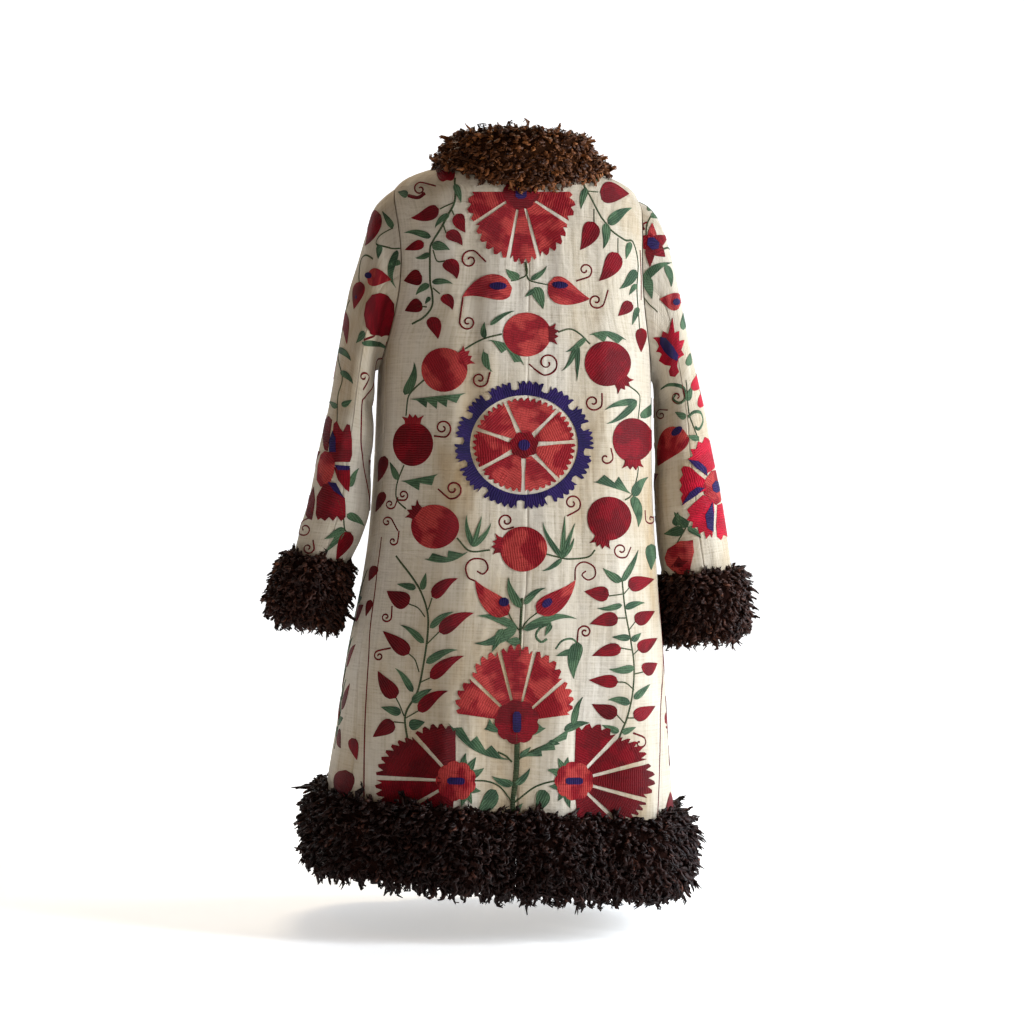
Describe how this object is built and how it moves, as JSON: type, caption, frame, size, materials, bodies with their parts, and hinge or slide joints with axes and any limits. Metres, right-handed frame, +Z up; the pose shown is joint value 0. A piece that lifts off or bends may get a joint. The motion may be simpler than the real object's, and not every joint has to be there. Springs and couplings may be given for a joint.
{
  "type": "embroidered coat with fur trim",
  "caption": "Knee-length A-line coat, open in front, with suzani embroidery on pale cloth and curly dark fur at the collar, cuffs and hem.",
  "frame": {"origin": "middle of the neck base, level with the shoulders that carry the coat", "axes": "+Z up, the front faces -Y, the wearer's left is +X"},
  "size_m": [0.7217, 0.4193, 1.0816],
  "materials": {
    "linen": "cream linen and cotton with silk chain-stitch embroidery",
    "fur": "dark brown curly lamb fur, soft sheen"
  },
  "bodies": {
    "root": {"back_left": "linen", "back_right": "linen", "front_left": "linen", "front_right": "linen", "side_gore_left": "linen", "side_gore_right": "linen", "sleeve_outer_left": "linen", "sleeve_under_left": "linen", "sleeve_outer_right": "linen", "sleeve_under_right": "linen", "collar_fur": "fur", "cuff_fur_left": "fur", "cuff_fur_right": "fur", "hem_fur_back_left": "fur", "hem_fur_back_right": "fur", "hem_fur_front_left": "fur", "hem_fur_front_right": "fur"}
  },
  "joints": []
}
